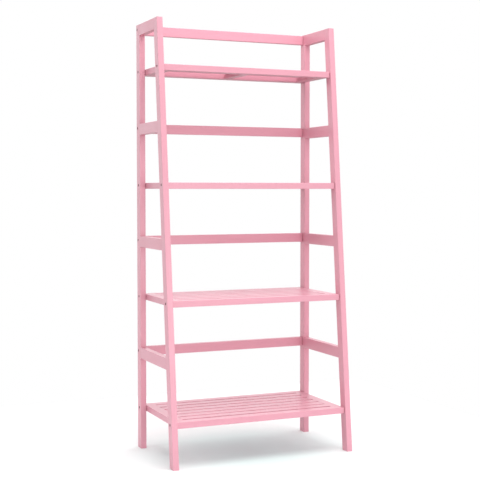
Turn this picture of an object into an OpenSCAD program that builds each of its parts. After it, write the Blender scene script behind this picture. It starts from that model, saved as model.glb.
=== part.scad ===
// Ladder shelf: two side frames with a slanted front, four back rails and four slatted shelves.
// The rear stands upright, and each shelf is shallower than the one below it.
// +X is the right-hand side, -Y is the front, and the feet stand on Z = 0.

/* [Overall] */
// Width over the outer faces of the side frames
overall_w = 626; // [560:1:760]
// Height of the posts
overall_h = 1400; // [1390:1:1440]
// Depth of the side frames at the floor
base_d = 346; // [340:1:360]
// Depth of the side frames at the top
top_d = 206; // [202:1:215]

/* [Posts] */
// Thickness of the posts across the shelf
post_t = 19; // [17:0.5:22]
// Depth of the posts from front to back
post_d = 33; // [30:0.5:36]
// Radius that eases the long edges of the posts and rails
edge_r = 1; // [0.5:0.1:2]

/* [Rails] */
// Height of the rails in the side frames
side_rail_h = 36; // [30:1:40]
// Height of the back rails
back_rail_h = 30.5; // [26:0.5:34]
// Thickness of the back rails
back_rail_t = 18; // [16:0.5:20]
// Height of the lowest rail's top above the floor
first_rail_top = 338; // [330:0.5:345]
// Height from one rail to the next, up to the third
rail_pitch = 369; // [366:0.5:372]

/* [Shelves] */
// Height of the bottom shelf's top above the floor
bottom_shelf_top = 143.1; // [130:0.1:150]
// Height of the second shelf's top above the floor
second_shelf_top = 514.7; // [510:0.1:518]
// Height of the third shelf's top above the floor
third_shelf_top = 882.6; // [878:0.1:886]
// Height of the top shelf's top above the floor
top_shelf_top = 1253.9; // [1240:0.1:1260]
// Thickness of the shelf frames
shelf_t = 19.5; // [18:0.1:22]
// Width of the rails that frame a shelf
frame_w = 32; // [30:1:34]
// Distance from the front face of the posts back to a shelf's front face
shelf_setback = 6; // [4:0.5:8]
// Width of a slat
slat_w = 31; // [30:0.5:33]
// Thickness of a slat
slat_t = 5; // [5:0.5:6]
// Width of the brace under the slats
brace_w = 25; // [20:1:30]

/* [Fasteners] */
// Shank diameter of the bolts
bolt_d = 5; // [4:0.5:5]
// Diameter of the bolt heads
bolt_head_d = 8.5; // [8:0.5:10]
// Diameter of the dowels
dowel_d = 6; // [5:0.5:6]

/* [Hidden] */
LEFT = -1;
RIGHT = 1;
SIDES = [LEFT, RIGHT];
LEVELS = [1 : 4];
ENDS = [-1, 1];

// Each shelf's height and number of slats, from the bottom shelf to the top shelf
SHELF_TOPS = [bottom_shelf_top, second_shelf_top, third_shelf_top, top_shelf_top];
SLAT_COUNTS = [6, 5, 4, 3];

slant = atan((base_d - top_d) / overall_h);
post_run = post_d / cos(slant);
rear_y = base_d / 2;
inner_x = overall_w / 2 - post_t;
post_x = overall_w / 2 - post_t / 2;

// The inserts' flanges keep the shelves and the back rails clear of the side frames
rail_gap = 1;
rail_end_x = inner_x - rail_gap;

// Small parts of the joints
play = 0.25;
bolt_head_t = 2.5;
head_recess = 3;
bolt_len = 30;
socket_flats = 4;
socket_depth = 1.8;
insert_d = 8;
insert_len = 14;
insert_flange_d = 11;
insert_flange_t = rail_gap;
thread_play = 0.1;
bolt_reach = bolt_len + head_recess - post_t;
dowel_len = 20;
dowel_spread = 16;
dowel_hole_depth = dowel_len / 2 + 1;

// Height of the dowels' centre line above a shelf's bottom face
dowel_rise = (shelf_t - slat_t) / 2;

// The slats' tongues and edges
tongue_t = 2;
tongue_len = 8;
slat_edge_r = 0.4;

// How far the bolts sit below the top of the shelf or the back rail that they hold
shelf_bolt_drop = 7.8;
rail_bolt_drop = 13.5;

// How far the top back rail's top lies below the post tops
top_rail_drop = 2;

function side_name(side) = side < 0 ? "left" : "right";
function shelf_top(level) = SHELF_TOPS[level - 1];
function shelf_bottom(level) = shelf_top(level) - shelf_t;
function rail_top(level) = level < 4 ? first_rail_top + rail_pitch * (level - 1) : overall_h;
function back_rail_top(level) = level < 4 ? rail_top(level) : overall_h - top_rail_drop;
function back_rail_z(level) = back_rail_top(level) - back_rail_h / 2;
function front_face_y(z) = -base_d / 2 + (base_d - top_d) * z / overall_h;
function shelf_front_y(level) = front_face_y(shelf_top(level)) + shelf_setback;
function shelf_bolt_z(level) = shelf_top(level) - shelf_bolt_drop;
function front_bolt_y(level) = front_face_y(shelf_bolt_z(level)) + post_run / 2;
function rear_bolt_y() = rear_y - post_d / 2;
function back_bolt_y() = rear_y - back_rail_t / 2;
function back_bolt_z(level) = back_rail_top(level) - rail_bolt_drop;
function slat_count(level) = SLAT_COUNTS[level - 1];

// The span between a shelf's front and rear rails, and the gaps that share it with the slats
function slat_span(level) = rear_y - shelf_front_y(level) - 2 * frame_w;
function slat_gap(level) =
    (slat_span(level) - slat_count(level) * slat_w) / (slat_count(level) + 1);
function slat_y(level, i) =
    shelf_front_y(level) + frame_w + slat_gap(level) * i + slat_w * (i - 0.5);

// Every bolt as [side, y, z]
SHELF_BOLTS = [
    for (side = SIDES) for (level = LEVELS)
        for (y = [front_bolt_y(level), rear_bolt_y()]) [side, y, shelf_bolt_z(level)]
];
BACK_BOLTS = [for (side = SIDES) for (level = LEVELS) [side, back_bolt_y(), back_bolt_z(level)]];
BOLTS = concat(SHELF_BOLTS, BACK_BOLTS);

// A rectangle with eased corners, centred on the origin
module eased_rect(w, d, r) {
    square([w - 2 * r, d], center = true);
    square([w, d - 2 * r], center = true);
    for (x = ENDS) for (y = ENDS)
        translate([x * (w / 2 - r), y * (d / 2 - r)]) circle(r, $fn = 32);
}

// A bar along X, centred on the origin in Y and Z
module bar_x(len, d, h, r = edge_r) {
    rotate([90, 0, 90]) linear_extrude(len, center = true) eased_rect(d, h, r);
}

// A bar along Y from y0 to y1, centred on the origin in X and Z
module bar_y(y0, y1, w, h, r = edge_r) {
    translate([0, y1, 0]) rotate([90, 0, 0]) linear_extrude(y1 - y0) eased_rect(w, h, r);
}

// A cylinder along X, from x = 0 towards the given side
module rod_x(side, d, len) {
    rotate([0, side * 90, 0]) cylinder(d = d, h = len, $fn = 48);
}

// The pair of cylinders for a joint's dowels, along Y and centred on the joint
module dowel_pair(d, len, spread, upright) {
    for (s = ENDS)
        translate(upright ? [0, 0, s * spread / 2] : [s * spread / 2, 0, 0])
            rotate([90, 0, 0]) cylinder(d = d, h = len, center = true, $fn = 32);
}

// Places where a side rail meets its front and rear posts, given to the children
module at_side_rail_joints(side, level) {
    z = rail_top(level) - side_rail_h / 2;
    translate([side * post_x, front_face_y(z) + post_run, z]) children();
    translate([side * post_x, rear_y - post_d, z]) children();
}

// Places where a shelf's cross pieces meet its front and rear rails, given to the children
module at_shelf_joints(level, x) {
    z = shelf_bottom(level) + dowel_rise;
    translate([x, shelf_front_y(level) + frame_w, z]) children();
    translate([x, rear_y - frame_w, z]) children();
}

module at_end_joints(level) {
    for (side = SIDES) at_shelf_joints(level, side * (rail_end_x - frame_w / 2)) children();
}

module side_rail_dowels(d, len) {
    dowel_pair(d, len, dowel_spread, upright = true);
}

module end_dowels(d, len) {
    dowel_pair(d, len, dowel_spread, upright = false);
}

module brace_dowel(d, len) {
    rotate([90, 0, 0]) cylinder(d = d, h = len, center = true, $fn = 32);
}

// Bolt holes with a counterbore in the outer face, through one side's posts
module post_bolt_holes(side) {
    for (bolt = BOLTS) if (bolt[0] == side)
        translate([side * overall_w / 2, bolt[1], bolt[2]]) {
            translate([side, 0, 0]) rod_x(-side, bolt_d + 2 * play, post_t + 2);
            translate([side, 0, 0]) rod_x(-side, bolt_head_d + 2 * play, head_recess + 1);
        }
}

module side_rail_dowel_holes(side) {
    for (level = LEVELS)
        at_side_rail_joints(side, level) side_rail_dowels(dowel_d, 2 * dowel_hole_depth);
}

module rear_post(side) {
    color("lightpink") difference() {
        translate([side * post_x, rear_y - post_d / 2, 0])
            linear_extrude(overall_h) eased_rect(post_t, post_d, edge_r);
        post_bolt_holes(side);
        side_rail_dowel_holes(side);
    }
}

// The slanted post, cut level at the floor and at the top
module front_post(side) {
    spare = post_d;
    color("lightpink") difference() {
        intersection() {
            translate([side * post_x, front_face_y(0) + post_run / 2, 0])
                rotate([-slant, 0, 0])
                translate([0, 0, -spare])
                linear_extrude(overall_h / cos(slant) + 2 * spare)
                eased_rect(post_t, post_d, edge_r);
            translate([side * post_x - post_t, -base_d, 0])
                cube([2 * post_t, 2 * base_d, overall_h]);
        }
        post_bolt_holes(side);
        side_rail_dowel_holes(side);
    }
}

// The room behind a front post, bounded by the post's slanted rear face
module behind_front_post() {
    low = -base_d;
    high = overall_h + base_d;
    rotate([90, 0, 90]) linear_extrude(2 * overall_w, center = true) polygon([
        [front_face_y(low) + post_run, low],
        [base_d, low],
        [base_d, high],
        [front_face_y(high) + post_run, high]
    ]);
}

module side_rail(side, level) {
    z = rail_top(level) - side_rail_h / 2;
    color("lightpink") difference() {
        intersection() {
            translate([side * post_x, 0, z])
                bar_y(front_face_y(z), rear_y - post_d, post_t, side_rail_h);
            behind_front_post();
        }
        at_side_rail_joints(side, level) side_rail_dowels(dowel_d, 2 * dowel_hole_depth);
    }
}

// A blind hole for an insert with room for the bolt's end, in both ends of a bar along X
module insert_holes(y, z) {
    for (side = SIDES) translate([side * rail_end_x, y, z]) {
        translate([side, 0, 0]) rod_x(-side, insert_d, insert_len + 1);
        translate([side, 0, 0]) rod_x(-side, bolt_d + 2 * play, bolt_reach + 2);
    }
}

module back_rail(level) {
    color("lightpink") difference() {
        translate([0, back_bolt_y(), back_rail_z(level)])
            bar_x(2 * rail_end_x, back_rail_t, back_rail_h);
        insert_holes(back_bolt_y(), back_bolt_z(level));
    }
}

// A rail across the front or the rear of a shelf, between the side frames
module shelf_rail(level, y, bolt_y) {
    color("lightpink") difference() {
        translate([0, y, shelf_bottom(level) + shelf_t / 2]) bar_x(2 * rail_end_x, frame_w, shelf_t);
        insert_holes(bolt_y, shelf_bolt_z(level));
        at_end_joints(level) end_dowels(dowel_d, 2 * dowel_hole_depth);
        at_shelf_joints(level, 0) brace_dowel(dowel_d, 2 * dowel_hole_depth);
    }
}

module shelf_front_rail(level) {
    shelf_rail(level, shelf_front_y(level) + frame_w / 2, front_bolt_y(level));
}

module shelf_rear_rail(level) {
    shelf_rail(level, rear_y - frame_w / 2, rear_bolt_y());
}

// The end of a shelf, with a groove along its inner face for the slats' tongues
module shelf_end(side, level) {
    y0 = shelf_front_y(level) + frame_w;
    y1 = rear_y - frame_w;
    color("lightpink") difference() {
        translate([side * (rail_end_x - frame_w / 2), 0, shelf_bottom(level) + shelf_t / 2])
            bar_y(y0, y1, frame_w, shelf_t);
        translate([side * (rail_end_x - frame_w), 0, tongue_z(level)])
            bar_box_y(y0 - 1, y1 + 1, 2 * tongue_len + 2 * play, tongue_t);
        at_end_joints(level) end_dowels(dowel_d, 2 * dowel_hole_depth);
    }
}

function tongue_z(level) = shelf_top(level) - slat_t / 2;

// A square-edged bar along Y from y0 to y1, centred in X and Z
module bar_box_y(y0, y1, w, h) {
    translate([-w / 2, y0, -h / 2]) cube([w, y1 - y0, h]);
}

// A slat with a tongue at each end
module slat(level, i) {
    shoulder = rail_end_x - frame_w;
    color("lightpink") translate([0, slat_y(level, i), tongue_z(level)]) {
        bar_x(2 * shoulder, slat_w, slat_t, slat_edge_r);
        cube([2 * (shoulder + tongue_len), slat_w - 2 * edge_r, tongue_t], center = true);
    }
}

// The brace from front to rear that the slats rest on
module brace(level) {
    brace_h = shelf_t - slat_t;
    color("lightpink") difference() {
        translate([0, 0, shelf_bottom(level) + brace_h / 2])
            bar_y(shelf_front_y(level) + frame_w, rear_y - frame_w, brace_w, brace_h);
        at_shelf_joints(level, 0) brace_dowel(dowel_d, 2 * dowel_hole_depth);
    }
}

// A bolt with a flat head and a hexagonal socket, its shank pointing inwards
module frame_bolt(side) {
    head_x = side * (overall_w / 2 - head_recess);
    difference() {
        translate([head_x, 0, 0]) {
            rod_x(side, bolt_head_d, bolt_head_t);
            rod_x(-side, bolt_d, bolt_len);
        }
        translate([head_x + side * (bolt_head_t - socket_depth), 0, 0])
            rotate([0, side * 90, 0])
            cylinder(d = socket_flats / cos(30), h = socket_depth + 1, $fn = 6);
    }
}

module frame_bolts() {
    color("saddlebrown") for (bolt = BOLTS)
        translate([0, bolt[1], bolt[2]]) frame_bolt(bolt[0]);
}

// A threaded insert with its flange against a rail's end, bored for the bolt
module threaded_insert(side) {
    difference() {
        union() {
            translate([side * rail_end_x, 0, 0]) rod_x(-side, insert_d, insert_len);
            translate([side * inner_x, 0, 0]) rod_x(-side, insert_flange_d, insert_flange_t);
        }
        translate([side * (inner_x + 1), 0, 0])
            rod_x(-side, bolt_d + 2 * thread_play, insert_len + rail_gap + 2);
    }
}

module threaded_inserts() {
    color("goldenrod") for (bolt = BOLTS)
        translate([0, bolt[1], bolt[2]]) threaded_insert(bolt[0]);
}

module wooden_dowels() {
    color("burlywood") {
        for (side = SIDES) for (level = LEVELS)
            at_side_rail_joints(side, level) side_rail_dowels(dowel_d, dowel_len);
        for (level = LEVELS) {
            at_end_joints(level) end_dowels(dowel_d, dowel_len);
            at_shelf_joints(level, 0) brace_dowel(dowel_d, dowel_len);
        }
    }
}

for (side = SIDES) {
    front_post(side);
    rear_post(side);
    for (level = LEVELS) {
        side_rail(side, level);
        shelf_end(side, level);
    }
}
for (level = LEVELS) {
    back_rail(level);
    shelf_front_rail(level);
    shelf_rear_rail(level);
    brace(level);
    for (i = [1 : slat_count(level)])
        slat(level, i);
}
frame_bolts();
threaded_inserts();
wooden_dowels();
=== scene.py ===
"""Pink ladder shelf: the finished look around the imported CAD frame.

Every wooden member is a piece of its own with its grain along local X, softened corners and
satin paint. The bolts, threaded inserts and dowels keep their CAD shapes and get metal and wood.
"""

import math

import bmesh
import bpy
from mathutils import Matrix, Vector


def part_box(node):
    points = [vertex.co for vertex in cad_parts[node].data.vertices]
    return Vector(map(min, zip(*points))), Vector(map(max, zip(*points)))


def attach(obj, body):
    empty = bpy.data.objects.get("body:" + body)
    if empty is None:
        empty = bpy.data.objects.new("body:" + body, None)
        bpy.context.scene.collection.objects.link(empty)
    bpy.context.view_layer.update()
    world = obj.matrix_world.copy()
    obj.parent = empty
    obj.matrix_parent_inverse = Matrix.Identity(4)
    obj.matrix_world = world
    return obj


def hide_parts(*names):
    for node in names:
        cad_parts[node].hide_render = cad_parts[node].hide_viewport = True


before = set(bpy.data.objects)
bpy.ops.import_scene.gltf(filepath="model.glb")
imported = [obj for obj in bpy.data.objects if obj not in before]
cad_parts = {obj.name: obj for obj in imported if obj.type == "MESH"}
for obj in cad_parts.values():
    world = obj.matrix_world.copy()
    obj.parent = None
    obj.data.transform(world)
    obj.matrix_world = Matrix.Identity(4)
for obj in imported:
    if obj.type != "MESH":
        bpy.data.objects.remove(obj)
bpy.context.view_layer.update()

MM = 0.001

# ---------------------------------------------------------------- camera

CAMERA_PLACE = (-1.4195, -3.2153, 0.8587)
CAMERA_LENS = 80.11             # for a sensor 36 mm wide
CAMERA_SENSOR = 36
CAMERA_TURN = math.radians(-23.592)
CAMERA_TILT = math.radians(-2.672)


def make_camera():
    data = bpy.data.cameras.new("camera")
    data.sensor_width = CAMERA_SENSOR
    data.lens = CAMERA_LENS
    camera = bpy.data.objects.new("camera", data)
    camera.location = CAMERA_PLACE
    camera.rotation_euler = (math.pi / 2 + CAMERA_TILT, 0, CAMERA_TURN)
    bpy.context.scene.collection.objects.link(camera)
    bpy.context.scene.camera = camera


# ---------------------------------------------------------------- node helpers

class Nodes:
    """A material's or world's node tree, with short ways to add and link nodes."""

    def __init__(self, block):
        block.use_nodes = True
        self.tree = block.node_tree

    def add(self, kind, inputs=None, **settings):
        node = self.tree.nodes.new("ShaderNode" + kind)
        for key, value in settings.items():
            setattr(node, key, value)
        for key, value in (inputs or {}).items():
            self.feed(node.inputs[key], value)
        return node

    def feed(self, socket, value):
        if isinstance(value, bpy.types.NodeSocket):
            self.tree.links.new(value, socket)
        else:
            socket.default_value = value

    def math(self, operation, *values):
        node = self.add("Math", operation=operation)
        for socket, value in zip(node.inputs, values):
            self.feed(socket, value)
        return node.outputs[0]

    def remap(self, value, low, high, to_low=0.0, to_high=1.0, smooth=False):
        """Maps a value's range from low to high onto another range, and clamps it there."""
        node = self.add("MapRange", {"Value": value, "From Min": low, "From Max": high,
                                     "To Min": to_low, "To Max": to_high})
        node.interpolation_type = "SMOOTHSTEP" if smooth else "LINEAR"
        return node.outputs["Result"]

    def mix(self, share, a, b):
        node = self.add("Mix", data_type="RGBA")
        sockets = {socket.identifier: socket for socket in node.inputs}
        self.feed(sockets["Factor_Float"], share)
        self.feed(sockets["A_Color"], a)
        self.feed(sockets["B_Color"], b)
        return next(s for s in node.outputs if s.identifier == "Result_Color")

    def place(self, stretch):
        """The piece's own coordinates in metres, stretched along each axis."""
        coordinates = self.add("TexCoord").outputs["Object"]
        node = self.add("Mapping", {"Vector": coordinates, "Scale": stretch})
        return node.outputs["Vector"]

    def noise(self, stretch, detail=3.0, roughness=0.5, shift=None):
        vector = self.place(stretch)
        if shift is not None:
            node = self.add("VectorMath", operation="ADD")
            self.feed(node.inputs[0], vector)
            self.feed(node.inputs[1], shift)
            vector = node.outputs["Vector"]
        node = self.add("TexNoise", {"Vector": vector, "Scale": 1.0, "Detail": detail,
                                     "Roughness": roughness})
        return node.outputs["Fac"]

    def edge_wear_and_highlight(self, radius, sharpest):
        """Near 1 within a radius of a sharp edge, where a rounded normal leaves the true one. Metal
        gets real rubbed wear there; the paint gets thinner paint and a painted highlight.
        """
        rounded = self.add("Bevel", {"Radius": radius}, samples=EDGE_SAMPLES).outputs["Normal"]
        align = self.add("VectorMath", operation="DOT_PRODUCT")
        self.feed(align.inputs[0], self.add("NewGeometry").outputs["Normal"])
        self.feed(align.inputs[1], rounded)
        return self.remap(align.outputs["Value"], FLAT, sharpest, smooth=True)

    def bump(self, height, depth, before=None):
        """Raises the surface by depth metres where the height is 1."""
        node = self.add("Bump", {"Height": height, "Distance": depth, "Strength": 1.0})
        if before is not None:
            self.feed(node.inputs["Normal"], before)
        return node.outputs["Normal"]


def principled(name):
    """A new material's nodes and its shader."""
    material = bpy.data.materials.new(name)
    nodes = Nodes(material)
    return material, nodes, nodes.tree.nodes["Principled BSDF"]


# ---------------------------------------------------------------- materials

PAINT = (0.638, 0.287, 0.359)
PAINT_WARM = (0.650, 0.289, 0.351)
# Paler paint for the edges: thinner paint there, and a painted highlight along the rounded edges
PAINT_THIN_AND_HIGHLIGHT = (0.684, 0.340, 0.403)
PAINT_ROUGHNESS = 0.33
PAINT_EDGE = 2.2 * MM           # how far the lighter edge band reaches from a sharp edge: thinner paint and a painted highlight
METAL_EDGE = 0.3 * MM
EDGE_SAMPLES = 6
FLAT = 0.995                    # how well the rounded normal agrees with the true one on a flat
PIECE_SPAN = 17.0               # how far apart the pieces lie in the noise, so that none repeats

# Bumps per metre along the grain and across it
FIGURE = (5.0, 70.0, 70.0)
FIBRES = (14.0, 620.0, 620.0)
PORES = (55.0, 1500.0, 1500.0)
CLOUD = (9.0, 9.0, 9.0)
PEEL = (850.0, 850.0, 850.0)

# How deep each of them stands in the paint, and the marks in the metal and the bare wood
FIGURE_DEPTH = 0.08 * MM
FIBRE_DEPTH = 0.03 * MM
PORE_DEPTH = 0.02 * MM
PEEL_DEPTH = 0.004 * MM
MARK_DEPTH = 0.02 * MM
BEECH_DEPTH = 0.05 * MM

BEECH_DARK = (0.56, 0.36, 0.19, 1.0)
BEECH_PALE = (0.70, 0.50, 0.30, 1.0)
BEECH_FLECK = (0.36, 0.21, 0.11, 1.0)
BEECH_FIBRES = (900.0, 30.0, 900.0)
BEECH_FLECKS = (2500.0, 260.0, 2500.0)

METALS = {                      # colour, rubbed edge, roughness, marks per metre
    "dark_bronze": ((0.085, 0.035, 0.028), (0.30, 0.17, 0.11), 0.40, 900.0),
    "brass": ((0.70, 0.50, 0.22), (0.90, 0.75, 0.45), 0.32, 700.0),
}


def shade(colour, factor):
    return (*(factor * c for c in colour), 1.0)


def painted_wood():
    """Satin pink paint over straight-grained wood, with the grain along the piece's own X axis, and
    edges painted lighter for thinner paint and a painted highlight.
    """
    material, n, shader = principled("painted_wood")
    own = n.math("MULTIPLY", n.add("ObjectInfo").outputs["Random"], PIECE_SPAN)
    figure = n.noise(FIGURE, 3.0, 0.55, own)
    fibres = n.noise(FIBRES, 4.0, 0.6, own)
    pores = n.remap(n.noise(PORES, 2.0, 0.5, own), 0.60, 0.72, smooth=True)
    cloud = n.noise(CLOUD, 2.0, 0.5, own)
    peel = n.noise(PEEL, 1.0, 0.5)

    normal = n.add("SeparateXYZ", {"Vector": n.add("TexCoord").outputs["Normal"]})
    end_grain = n.remap(n.math("ABSOLUTE", normal.outputs["X"]), 0.80, 0.95, smooth=True)
    edge = n.edge_wear_and_highlight(PAINT_EDGE, 0.90)

    tone = n.mix(n.remap(figure, 0.34, 0.66), shade(PAINT, 0.972), shade(PAINT, 1.018))
    tone = n.mix(n.remap(fibres, 0.35, 0.65, 0.0, 0.30), tone, shade(PAINT, 1.05))
    tone = n.mix(n.remap(cloud, 0.35, 0.65, 0.0, 0.35), tone, (*PAINT_WARM, 1.0))
    tone = n.mix(n.math("MULTIPLY", pores, 0.22), tone, shade(PAINT, 0.80))
    # Edges painted lighter: thinner paint, and a painted highlight along the rounded edges
    tone = n.mix(n.math("MULTIPLY", edge, 0.30), tone, (*PAINT_THIN_AND_HIGHLIGHT, 1.0))
    tone = n.mix(n.math("MULTIPLY", end_grain, 0.55), tone, shade(PAINT, 0.86))
    saturation = n.remap(own, 0.0, PIECE_SPAN, 0.975, 1.02)
    value = n.remap(own, 0.0, PIECE_SPAN, 0.985, 1.012)
    piece = n.add("HueSaturation", {"Color": tone, "Saturation": saturation, "Value": value})
    n.feed(shader.inputs["Base Color"], piece.outputs["Color"])

    gloss = n.remap(cloud, 0.35, 0.65, PAINT_ROUGHNESS - 0.03, PAINT_ROUGHNESS + 0.03)
    gloss = n.math("ADD", gloss, n.remap(fibres, 0.35, 0.65, -0.02, 0.03))
    gloss = n.math("ADD", gloss, n.math("MULTIPLY", end_grain, 0.18))
    n.feed(shader.inputs["Roughness"], gloss)

    relief = n.bump(figure, FIGURE_DEPTH)
    relief = n.bump(fibres, FIBRE_DEPTH, relief)
    relief = n.bump(n.math("SUBTRACT", 1.0, pores), PORE_DEPTH, relief)
    relief = n.bump(peel, PEEL_DEPTH, relief)
    n.feed(shader.inputs["Normal"], relief)
    return material


def worn_metal(name):
    """Metal with fine turning marks, small stains and brighter rubbed edges."""
    colour, bright, roughness, scale = METALS[name]
    material, n, shader = principled(name)
    marks = n.noise((scale * 6, scale, scale), 3.0, 0.6)
    stains = n.noise((scale * 0.4,) * 3, 3.0, 0.55)
    edge = n.edge_wear_and_highlight(METAL_EDGE, 0.85)
    tone = n.mix(n.remap(stains, 0.35, 0.65), shade(colour, 0.85), shade(colour, 1.15))
    tone = n.mix(n.math("MULTIPLY", edge, 0.6), tone, (*bright, 1.0))
    n.feed(shader.inputs["Base Color"], tone)
    shader.inputs["Metallic"].default_value = 1.0
    n.feed(shader.inputs["Roughness"], n.remap(marks, 0.3, 0.7, roughness - 0.07, roughness + 0.1))
    n.feed(shader.inputs["Normal"], n.bump(marks, MARK_DEPTH))
    return material


def bare_beech():
    """Pale unpainted beech with short flecks, for the dowels."""
    material, n, shader = principled("bare_beech")
    fibres = n.noise(BEECH_FIBRES, 4.0, 0.6)
    flecks = n.remap(n.noise(BEECH_FLECKS, 1.0, 0.5), 0.62, 0.70, smooth=True)
    tone = n.mix(n.remap(fibres, 0.35, 0.65), BEECH_DARK, BEECH_PALE)
    tone = n.mix(n.math("MULTIPLY", flecks, 0.5), tone, BEECH_FLECK)
    n.feed(shader.inputs["Base Color"], tone)
    n.feed(shader.inputs["Roughness"], n.remap(fibres, 0.35, 0.65, 0.55, 0.70))
    n.feed(shader.inputs["Normal"], n.bump(fibres, BEECH_DEPTH))
    return material


# ---------------------------------------------------------------- wooden pieces

SOFTEN = 0.4 * MM
WELD = 0.001 * MM
FLAT_ANGLE = math.radians(0.5)
SHARP_ANGLE = math.radians(50)
LOOSE_NODES = ("frame_bolts", "threaded_inserts", "wooden_dowels")


def lean_of(node):
    """The angle by which a post leans back, from its front foot corner to its front head corner."""
    low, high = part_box(node)
    points = [v.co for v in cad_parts[node].data.vertices]
    foot = min(p.y for p in points if p.z < low.z + MM)
    head = min(p.y for p in points if p.z > high.z - MM)
    return math.atan2(head - foot, high.z - low.z)


def grain_frame(node):
    """A wooden member's own frame, with its origin at the member's centre and X along the grain."""
    low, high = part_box(node)
    size = high - low
    if size.z > max(size.x, size.y):
        turn = Matrix.Rotation(-lean_of(node), 4, "X") @ Matrix.Rotation(-math.pi / 2, 4, "Y")
    elif size.y > size.x:
        turn = Matrix.Rotation(math.pi / 2, 4, "Z")
    else:
        turn = Matrix.Identity(4)
    return Matrix.Translation((low + high) / 2) @ turn


def wooden_piece(node, material):
    """A CAD member's shape with its flats merged, its sharp corners softened and its grain set."""
    place = grain_frame(node)
    bm = bmesh.new()
    bm.from_mesh(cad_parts[node].data)
    bm.transform(place.inverted())
    bmesh.ops.remove_doubles(bm, verts=bm.verts, dist=WELD)
    bmesh.ops.dissolve_limit(bm, angle_limit=FLAT_ANGLE, verts=bm.verts, edges=bm.edges)
    mesh = bpy.data.meshes.new(node + "_wood")
    bm.to_mesh(mesh)
    bm.free()
    mesh.materials.append(material)
    mesh.shade_smooth()
    piece = bpy.data.objects.new(node + "_wood", mesh)
    piece.matrix_world = place
    bpy.context.scene.collection.objects.link(piece)
    bevel = piece.modifiers.new("softened_corners", "BEVEL")
    bevel.width = SOFTEN
    bevel.segments = 2
    bevel.limit_method = "ANGLE"
    bevel.angle_limit = SHARP_ANGLE
    bevel.harden_normals = True
    flatten = piece.modifiers.new("flat_faces", "WEIGHTED_NORMAL")
    flatten.weight = 100
    flatten.keep_sharp = True
    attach(piece, "root")
    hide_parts(node)


# ---------------------------------------------------------------- stage and light

FLOOR_HALF = 1.0
FLOOR_SHADE = 0.06              # distance from the middle at which the painted shade under the shelf starts to fade
FLOOR_BRIGHT = 0.44             # distance at which the painted shade is gone and the floor is fully bright
FLOOR_STRETCH = (0.8, 1.0, 0.0)
# Under the shelf the floor is painted darker and blue-green, a painted shadow that also cancels the
# pink light off the wood
FLOOR_PAINTED_SHADE = (0.67, 0.83, 0.81, 1)
FLOOR_FAR = (0.84, 0.84, 0.84, 1)
# The floor's emission: none under the shelf, a faint painted glow further out
FLOOR_PAINTED_GLOW_NEAR = (0.0, 0.0, 0.0, 1)
FLOOR_PAINTED_GLOW_FAR = (0.04, 0.04, 0.04, 1)
GLOW_FALLOFF = 4.0
GLOWS = (                       # azimuth from the front towards +X and elevation, in degrees
    (0, 8), (45, 8), (-45, 8), (180, 8), (-135, 8),
    (90, 42), (135, 42), (180, 42),
)
GLOW_STRENGTH = 0.85
AIM = Vector((0, 0, 0.8))
SOFTBOXES = (                   # name, place, size, power in watts
    ("soft_top", (0, -0.6, 2.9), (2.0, 2.0), 58),
    ("soft_left", (-2.4, 0, 1.2), (1.4, 1.8), 12),
    ("soft_front", (0, -2.4, 0.6), (1.8, 0.7), 14),
)


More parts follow.
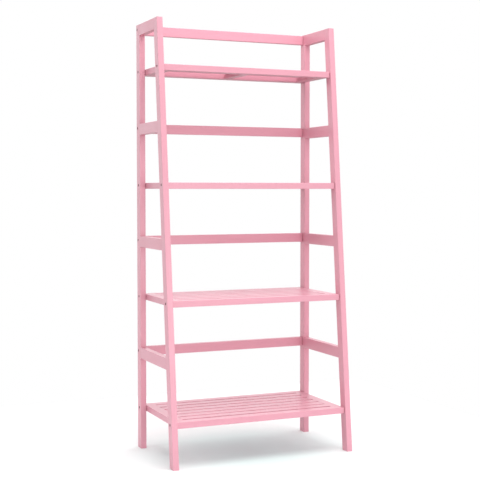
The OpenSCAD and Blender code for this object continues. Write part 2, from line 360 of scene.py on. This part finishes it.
def make_stage():
    """A square pale floor with painted shade: darker and slightly blue-green under the shelf, which
    deepens its shadow and balances the pink light there, and a faint painted glow further out.
    """
    mesh = bpy.data.meshes.new("floor")
    corners = [(-1, -1), (1, -1), (1, 1), (-1, 1)]
    mesh.from_pydata([(x * FLOOR_HALF, y * FLOOR_HALF, 0) for x, y in corners], [], [(0, 1, 2, 3)])
    floor = bpy.data.objects.new("floor", mesh)
    material, n, shader = principled("floor_with_painted_shade")
    reach = n.add("VectorMath", operation="LENGTH")
    n.feed(reach.inputs[0], n.place(FLOOR_STRETCH))
    # Fades the painted shade and glow in from the middle of the floor outwards
    painted_shade_fade = n.remap(reach.outputs["Value"], FLOOR_SHADE, FLOOR_BRIGHT, smooth=True)
    n.feed(shader.inputs["Base Color"], n.mix(painted_shade_fade, FLOOR_PAINTED_SHADE, FLOOR_FAR))
    shader.inputs["Roughness"].default_value = 1.0
    shader.inputs["Specular IOR Level"].default_value = 0
    n.feed(shader.inputs["Emission Color"], n.mix(painted_shade_fade, FLOOR_PAINTED_GLOW_NEAR, FLOOR_PAINTED_GLOW_FAR))
    shader.inputs["Emission Strength"].default_value = 1.0
    mesh.materials.append(material)
    bpy.context.scene.collection.objects.link(floor)


def toward(azimuth, elevation):
    """The direction at an azimuth from the front towards +X and an elevation, in degrees."""
    turn, rise = math.radians(azimuth), math.radians(elevation)
    return (math.sin(turn) * math.cos(rise), -math.cos(turn) * math.cos(rise), math.sin(rise))


def make_world():
    """A white surround for the camera, and a few broad soft glows that light the object."""
    world = bpy.data.worlds.new("studio")
    bpy.context.scene.world = world
    n = Nodes(world)
    direction = n.add("TexCoord").outputs["Generated"]
    light = 0.0
    for azimuth, elevation in GLOWS:
        facing = n.add("VectorMath", operation="DOT_PRODUCT")
        n.feed(facing.inputs[0], direction)
        n.feed(facing.inputs[1], toward(azimuth, elevation))
        lobe = n.math("POWER", n.math("MAXIMUM", facing.outputs["Value"], 0.0), GLOW_FALLOFF)
        light = n.math("MULTIPLY_ADD", lobe, GLOW_STRENGTH, light)
    seen = n.add("LightPath").outputs["Is Camera Ray"]
    background = n.tree.nodes["Background"]
    background.inputs["Color"].default_value = (1, 1, 1, 1)
    n.feed(background.inputs["Strength"], n.remap(seen, 0.0, 1.0, light, 1.0))


def softbox(name, place, size, power):
    """A square-edged area light that faces the middle of the shelf."""
    data = bpy.data.lights.new(name, "AREA")
    data.shape = "RECTANGLE"
    data.size, data.size_y = size
    data.energy = power
    light = bpy.data.objects.new(name, data)
    light.location = place
    light.rotation_euler = (AIM - Vector(place)).to_track_quat("-Z", "Y").to_euler()
    bpy.context.scene.collection.objects.link(light)


make_camera()
make_world()
make_stage()
for light in SOFTBOXES:
    softbox(*light)

scene = bpy.context.scene
scene.view_settings.view_transform = "Standard"
scene.view_settings.look = "None"

paint = painted_wood()
for node in sorted(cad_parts):
    if node not in LOOSE_NODES:
        wooden_piece(node, paint)

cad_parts["frame_bolts"].data.materials[0] = worn_metal("dark_bronze")
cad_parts["threaded_inserts"].data.materials[0] = worn_metal("brass")
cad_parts["wooden_dowels"].data.materials[0] = bare_beech()
